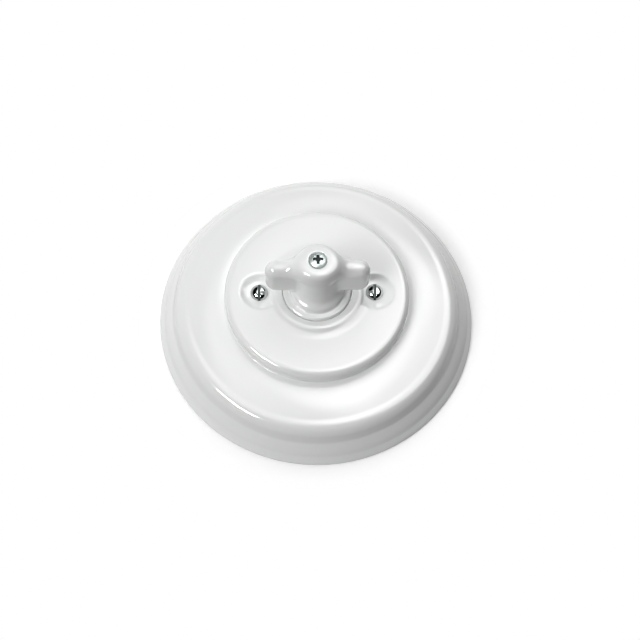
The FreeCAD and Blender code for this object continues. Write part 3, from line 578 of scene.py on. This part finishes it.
def slot_shade_line(finish):
    """One inside the slots of the two cover screws, which run along Y, where shade is painted dark."""
    return abs(abs(finish.place_on("X")) - SCREW_AT) < SLOT_SHADE


# The slots of the nickel heads get painted shade, darkened to near black.
nickel = metal(
    "bright_nickel",
    dull=(0.40, 0.42, 0.42, 1),
    bright=(0.50, 0.52, 0.52, 1),
    polish=0.07,
    spread=0.04,
    lump=0.005,
    shaded_hollow=slot_shade_line,
)
COVER_SCREW = {
    "head radius": 2.95,
    "edge height": 0.5,
    "head height": 2.3,
    "head edge": 0.25,
    "seat": 19.9,
    "slot width": 0.8,
    "slot depth": 1.0,
    "slot corner": 0.12,
    "slot edge": 0.14,
    "shank radius": 1.5,
    "shank length": 14.0,
    "pitch": 0.7,
    "screw spacing": 2 * SCREW_AT,
}
COVER_HEAD_BOX = (-3.2, -3.2, 19.6), (3.2, 3.2, 22.5)
COVER_HEAD_VOXEL = 0.065
cover_screw = Form("cover_screws_domed", COVER_SCREW)
cover_screw_top = cover_screw.size("seat") + cover_screw.size("head height")
slot_floor = cover_screw_top - cover_screw.size("slot depth")
slot_side = abs(cover_screw.x) - cover_screw.size("slot width") / 2
slot = cover_screw.rounded(slot_side, slot_floor - cover_screw.z, cover_screw.size("slot corner"))
slotted_head = cover_screw.pare(domed_head(cover_screw), slot, cover_screw.size("slot edge"))
head = cover_screw.solid(slotted_head, *COVER_HEAD_BOX, COVER_HEAD_VOXEL)
screw_spacing = cover_screw.size("screw spacing")
pair_start = cover_screw.add("ShaderNodeCombineXYZ", {}, {"X": screw_spacing / -2})
pair_step = cover_screw.add("ShaderNodeCombineXYZ", {}, {"X": screw_spacing})
pair = {"Count": 2, "Start Location": pair_start, "Offset": pair_step}
seats = cover_screw.add("GeometryNodeMeshLine", {"mode": "OFFSET"}, pair)
one_screw = cover_screw.joined(head, threaded(cover_screw))
screws = cover_screw.add("GeometryNodeInstanceOnPoints", {}, {"Points": seats, "Instance": one_screw})
cover_screws_mesh = cover_screw.mesh(screws, nickel)
piece("cover_screws_domed", cover_screws_mesh, nickel, "fixed", "bright_plating", "cover_screws")

# Knob: the porcelain turn button, cast in one with a stepped round foot, a stem that swells into a
# boss, and two flat wings for thumb and finger. It sits on the spindle's square under its screw.
KNOB = {
    "boss radius": 6.2,
    "boss flare": 0.07,
    "boss top": 44.0,
    "boss edge": 2.0,
    "crown edge": 2.6,
    "wing reach": 17.2,
    "wing thickness": 6.6,
    "wing low": 25.9,
    "wing top": 40.3,
    "wing corner": 3.6,
    "wing edge": 3.15,
    "wing blend": 10.0,
    "blend start": 34.0,
    "blend end": 42.0,
    "blend least": 0.2,
    "wing droop": 0.2,
    "wing taper": 0.5,
    "foot low": 21.6,
    "flange radius": 11.5,
    "flange top": 23.3,
    "step radius": 9.0,
    "step top": 25.4,
    "foot edge": 0.8,
    "foot cove": 1.4,
    "foot sunk": 1.0,
    "stem cove": 3.6,
    "recess radius": 3.1,
    "recess floor": 42.9,
    "recess slope": 0.14,
    "recess corner": 0.3,
    "recess edge": 0.35,
    "socket width": 4.5,
    "socket top": 37.5,
    "screw hole": 1.65,
}
KNOB_BOX = (-17.8, -12.2, 21.0), (17.8, 12.2, 44.6)
KNOB_VOXEL = 0.25
knob = Form("knob_glazed", KNOB)


def stacked(radius, low, top, edge):
    """A round solid between two heights, its edges rounded."""
    middle = (low + top) / 2
    half = (top - low) / 2
    return knob.rounded(knob.out - radius, abs(knob.z - middle) - half, edge)


foot_low = knob.size("foot low")
boss_top = knob.size("boss top")
boss_radius = knob.size("boss radius") + knob.size("boss flare") * (boss_top - knob.z)
boss = stacked(boss_radius, foot_low, boss_top, knob.size("boss edge"))
wing_reach = knob.size("wing reach")
outward = abs(knob.x) / wing_reach
wing_top = knob.size("wing top") - knob.size("wing droop") * outward * outward
wing_height = knob.most(knob.z - wing_top, knob.size("wing low") - knob.z)
wing_outline = knob.rounded(abs(knob.x) - wing_reach, wing_height, knob.size("wing corner"))
wing_side = knob.size("wing thickness") / 2 - knob.size("wing taper") * outward * outward * outward
wings = knob.rounded(wing_outline, abs(knob.y) - wing_side, knob.size("wing edge"))
blend_ends = knob.size("blend start"), knob.size("blend end")
wing_cove = knob.eased(knob.z, *blend_ends, knob.size("blend least"))
crowned = knob.blend(boss, wings, knob.size("wing blend") * wing_cove)
grip = knob.pare(crowned, boss_top - knob.z, knob.size("crown edge"))
foot_root = foot_low - knob.size("foot sunk")
foot_edge = knob.size("foot edge")
flange = stacked(knob.size("flange radius"), foot_root, knob.size("flange top"), foot_edge)
step = stacked(knob.size("step radius"), foot_root, knob.size("step top"), foot_edge)
foot = knob.blend(flange, step, knob.size("foot cove"))
button = knob.most(knob.blend(grip, foot, knob.size("stem cove")), foot_low - knob.z)
recess_taper = (boss_top - knob.z) * knob.size("recess slope")
recess_side = knob.out - knob.size("recess radius") + recess_taper
recess_depth = knob.size("recess floor") - knob.z
recess = knob.rounded(recess_side, recess_depth, knob.size("recess corner"))
socket_side = knob.most(abs(knob.x), abs(knob.y)) - knob.size("socket width") / 2
socket = knob.most(socket_side, knob.z - knob.size("socket top"))
screw_hole = knob.out - knob.size("screw hole")
hollowed = knob.pare(button, recess, knob.size("recess edge"))
bored = knob.most(knob.most(hollowed, -socket), -screw_hole)
knob_solid = knob.solid(bored, *KNOB_BOX, KNOB_VOXEL)
knob_mesh = knob.mesh(knob_solid, glaze.material)
piece("knob_glazed", knob_mesh, glaze.material, "turning", "porcelain", "knob")

# Knob screw: a zinc plated pan head screw with a cross recess, driven down through the knob into the
# end of the spindle. The plating is matt and a little green, and the recess is darkened by painted
# shade.
KNOB_SCREW = {
    "head radius": 2.8,
    "edge height": 0.9,
    "head height": 2.0,
    "head edge": 0.5,
    "seat": 42.9,
    "cross length": 3.8,
    "cross width": 0.95,
    "cross depth": 1.2,
    "cross taper": 0.45,
    "cross edge": 0.12,
    "well radius": 0.9,
    "tick width": 0.4,
    "tick reach": 1.65,
    "tick depth": 0.45,
    "shank radius": 1.5,
    "shank length": 14.0,
    "pitch": 0.5,
}
PAN_BOX = (-3.1, -3.1, 42.6), (3.1, 3.1, 45.2)
PAN_VOXEL = 0.055
STAR_SHADE_TOP = 44.36
STAR_SHADE_RADIUS = 1.95


def star_recess_shade(finish):
    """One inside the cross recess, below the crown of the head, where shade is painted dark."""
    from_middle = finish.span(finish.place_on("X"), finish.place_on("Y"))
    return (finish.place_on("Z") < STAR_SHADE_TOP) * (from_middle < STAR_SHADE_RADIUS)


bright_zinc = metal(
    "bright_zinc",
    dull=(0.40, 0.45, 0.44, 1),
    bright=(0.52, 0.57, 0.56, 1),
    polish=0.48,
    spread=0.08,
    lump=0.002,
    shaded_hollow=star_recess_shade,
)
knob_screw = Form("knob_screw_cross", KNOB_SCREW)
knob_screw_top = knob_screw.size("seat") + knob_screw.size("head height")
cross_floor = knob_screw_top - knob_screw.size("cross depth")
cross_half = knob_screw.size("cross width") / 2
cross_taper = (knob_screw_top - knob_screw.z) * knob_screw.size("cross taper")
cross_reach = knob_screw.size("cross length") / 2 - cross_taper
from_x, from_y = abs(knob_screw.x), abs(knob_screw.y)
arm = knob_screw.least(
    knob_screw.most(from_x - cross_half, from_y - cross_reach),
    knob_screw.most(from_y - cross_half, from_x - cross_reach),
)
well = knob_screw.out - knob_screw.size("well radius")
tick_side = abs(from_x - from_y) - knob_screw.size("tick width") / 2
ticks = knob_screw.most(tick_side, knob_screw.out - knob_screw.size("tick reach"))
tick_floor = knob_screw_top - knob_screw.size("tick depth")
star = knob_screw.least(
    knob_screw.most(knob_screw.least(arm, well), cross_floor - knob_screw.z),
    knob_screw.most(ticks, tick_floor - knob_screw.z),
)
cross_head = knob_screw.pare(domed_head(knob_screw), star, knob_screw.size("cross edge"))
pan = knob_screw.solid(cross_head, *PAN_BOX, PAN_VOXEL)
knob_screw_mesh = knob_screw.mesh(knob_screw.joined(pan, threaded(knob_screw)), bright_zinc)
piece("knob_screw_cross", knob_screw_mesh, bright_zinc, "turning", "zinc_steel", "knob_screw")

# Studio: the switch lies face up on white paper with its block let into a hole under the ring. The
# key light is at the front left and the fill at the back. The glaze mirrors three soft boxes, overhead,
# at the right and at the back right, and a narrow strip light at the front left.
FLOOR_RINGS = (0.0495, 0.06, 0.1, 0.3, 4.0)
FLOOR_STEPS = 96
FLOOR_HEIGHT = -0.00002
FADE_START = 54.5
FADE_END = 62.0
WHITE = (1, 1, 1, 1)
BOUNCE_GREY = (0.12, 0.12, 0.12, 1)
PAPER_GLOW = 0.10
BOUNCE_GLOW = 0.45
STRIP_PLACE = Vector((-0.63, -0.475, 0.61))
STRIP_AIM = Vector((0, 0, 0.02))
SKYLINE = 0.25


def rays_of(nodes, *kinds):
    """One for a ray of any of these kinds, and nought for the rest."""
    chosen = 0.0
    for kind in kinds:
        chosen = nodes.add("ShaderNodeLightPath", {}, {}, kind) + chosen
    return chosen.math("MINIMUM", chosen, 1.0)


floor_corners = []
for radius in FLOOR_RINGS:
    for step_count in range(FLOOR_STEPS):
        angle = 2 * math.pi * step_count / FLOOR_STEPS
        floor_corners.append((radius * math.cos(angle), radius * math.sin(angle), FLOOR_HEIGHT))
floor_faces = []
for band in range(len(FLOOR_RINGS) - 1):
    for step_count in range(FLOOR_STEPS):
        here = band * FLOOR_STEPS + step_count
        there = band * FLOOR_STEPS + (step_count + 1) % FLOOR_STEPS
        floor_faces.append((here, here + FLOOR_STEPS, there + FLOOR_STEPS, there))
floor_mesh = bpy.data.meshes.new("studio_floor")
floor_mesh.from_pydata(floor_corners, [], floor_faces)
paper = Finish("white_paper")
paper.feed({"Base Color": WHITE, "Roughness": 0.9, "Specular IOR Level": 0.0})
paper.feed({"Emission Color": WHITE, "Emission Strength": PAPER_GLOW})
from_switch = paper.span(paper.place_on("X"), paper.place_on("Y"))
far = paper.eased(from_switch, FADE_START, FADE_END)
seen_floor = rays_of(paper, "Is Camera Ray", "Is Glossy Ray", "Is Transmission Ray")
white = paper.add("ShaderNodeEmission", {}, {"Color": WHITE, "Strength": 1.0})
grey = paper.add("ShaderNodeBsdfDiffuse", {}, {"Color": BOUNCE_GREY})
paper_shader = Field(paper, paper.shader.outputs[0])
lit = paper.add("ShaderNodeMixShader", {}, {0: far, 1: paper_shader, 2: white})
near_glow = paper.add("ShaderNodeEmission", {}, {"Color": WHITE, "Strength": BOUNCE_GLOW})
bounce = paper.add("ShaderNodeMixShader", {}, {0: far, 1: near_glow, 2: grey})
table = paper.add("ShaderNodeMixShader", {}, {0: seen_floor, 1: bounce, 2: lit})
clear = paper.add("ShaderNodeBsdfTransparent", {}, {})
behind = paper.add("ShaderNodeNewGeometry", {}, {}, "Backfacing")
one_sided = paper.add("ShaderNodeMixShader", {}, {0: behind, 1: table, 2: clear})
paper.fill(paper.tree.nodes["Material Output"].inputs["Surface"], one_sided)
floor_mesh.materials.append(paper.material)
floor = bpy.data.objects.new("studio_floor", floor_mesh)
bpy.context.scene.collection.objects.link(floor)

strip_lamp = bpy.data.lights.new("strip_box", "AREA")
strip_lamp.shape = "RECTANGLE"
strip_lamp.size = 0.42
strip_lamp.size_y = 0.12
strip_lamp.energy = 12.0
strip = bpy.data.objects.new("strip_box", strip_lamp)
strip.location = STRIP_PLACE
strip.rotation_euler = (STRIP_AIM - STRIP_PLACE).to_track_quat("-Z", "Y").to_euler()
strip.visible_diffuse = False
bpy.context.scene.collection.objects.link(strip)

room = bpy.data.worlds.new("studio_room")
room.use_nodes = True
room_nodes = Nodes(room.node_tree)
facing = room_nodes.add("ShaderNodeTexCoord", {}, {}, "Generated")


def nearness(direction):
    """One for a ray straight in this direction, falling to minus one the other way."""
    toward = {0: facing, 1: Vector(direction).normalized()}
    return room_nodes.add("ShaderNodeVectorMath", {"operation": "DOT_PRODUCT"}, toward, "Value")


def glow(direction, level, focus):
    """A soft bright patch of the room in one direction."""
    share = nearness(direction)
    return share.math("POWER", share.math("MAXIMUM", share, 0.0), focus) * level


def soft_disc(direction, full, edge, level):
    """A round lamp front in one direction, even out to one angle and gone at a wider one."""
    gone, even = math.cos(math.radians(edge)), math.cos(math.radians(full))
    return room_nodes.eased(nearness(direction), gone, even) * level


main_key = glow((-0.55, -0.5, 0.67), level=10.4, focus=40.0)
wide_key = glow((-0.5, 0.0, 0.866), level=1.3, focus=9.0)
key_light = main_key + wide_key
fill_light = glow((0.1, 0.8, 0.6), level=1.95, focus=4.0)
right_box = soft_disc((0.45, 0.15, 0.88), full=19.0, edge=36.0, level=5.4)
overhead_box = soft_disc((-0.12, 0.04, 0.99), full=10.0, edge=32.0, level=3.0)
back_box = soft_disc((0.32, 0.7, 0.64), full=10.0, edge=28.0, level=1.8)
soft_boxes = right_box + overhead_box + back_box
glossy = rays_of(room_nodes, "Is Glossy Ray")
lamps = glossy * soft_boxes + (1 - glossy) * (key_light + fill_light)
upward = room_nodes.add("ShaderNodeSeparateXYZ", {}, {"Vector": facing}, "Z")
backdrop = room_nodes.eased(abs(upward), SKYLINE, 0.0)
mirrored = glossy * backdrop
direct = mirrored.math("MAXIMUM", mirrored, rays_of(room_nodes, "Is Camera Ray", "Is Transmission Ray"))
room_light = room.node_tree.nodes["Background"]
room_nodes.fill(room_light.inputs["Color"], WHITE)
room_nodes.fill(room_light.inputs["Strength"], direct + (1 - direct) * lamps)
bpy.context.scene.world = room

# Camera: it looks down at the switch from the front as the photograph does, from half a metre away.
# A small shift of the lens puts the switch where it is in the photograph's frame.
CAMERA_HEIGHT = math.radians(65.0)
CAMERA_SIDE = math.radians(-2.5)
CAMERA_ROLL = math.radians(-2.0)
CAMERA_DISTANCE = 0.5
back = Vector(
    (
        math.sin(CAMERA_SIDE) * math.cos(CAMERA_HEIGHT),
        -math.cos(CAMERA_SIDE) * math.cos(CAMERA_HEIGHT),
        math.sin(CAMERA_HEIGHT),
    )
)
right = Vector((math.cos(CAMERA_SIDE), math.sin(CAMERA_SIDE), 0))
up = back.cross(right)
camera_x = right * math.cos(CAMERA_ROLL) - up * math.sin(CAMERA_ROLL)
camera_y = right * math.sin(CAMERA_ROLL) + up * math.cos(CAMERA_ROLL)
lens = bpy.data.cameras.new("photo_view")
lens.sensor_width = 36.0
lens.lens = 80.9
lens.shift_x = 0.0062
lens.shift_y = -0.0032
lens.clip_start = 0.01
viewer = bpy.data.objects.new("photo_view", lens)
viewer.matrix_world = Matrix.Translation(back * CAMERA_DISTANCE) @ Matrix(
    (camera_x, camera_y, back)
).transposed().to_4x4()
bpy.context.scene.collection.objects.link(viewer)
bpy.context.scene.camera = viewer
bpy.context.scene.view_settings.view_transform = "Standard"
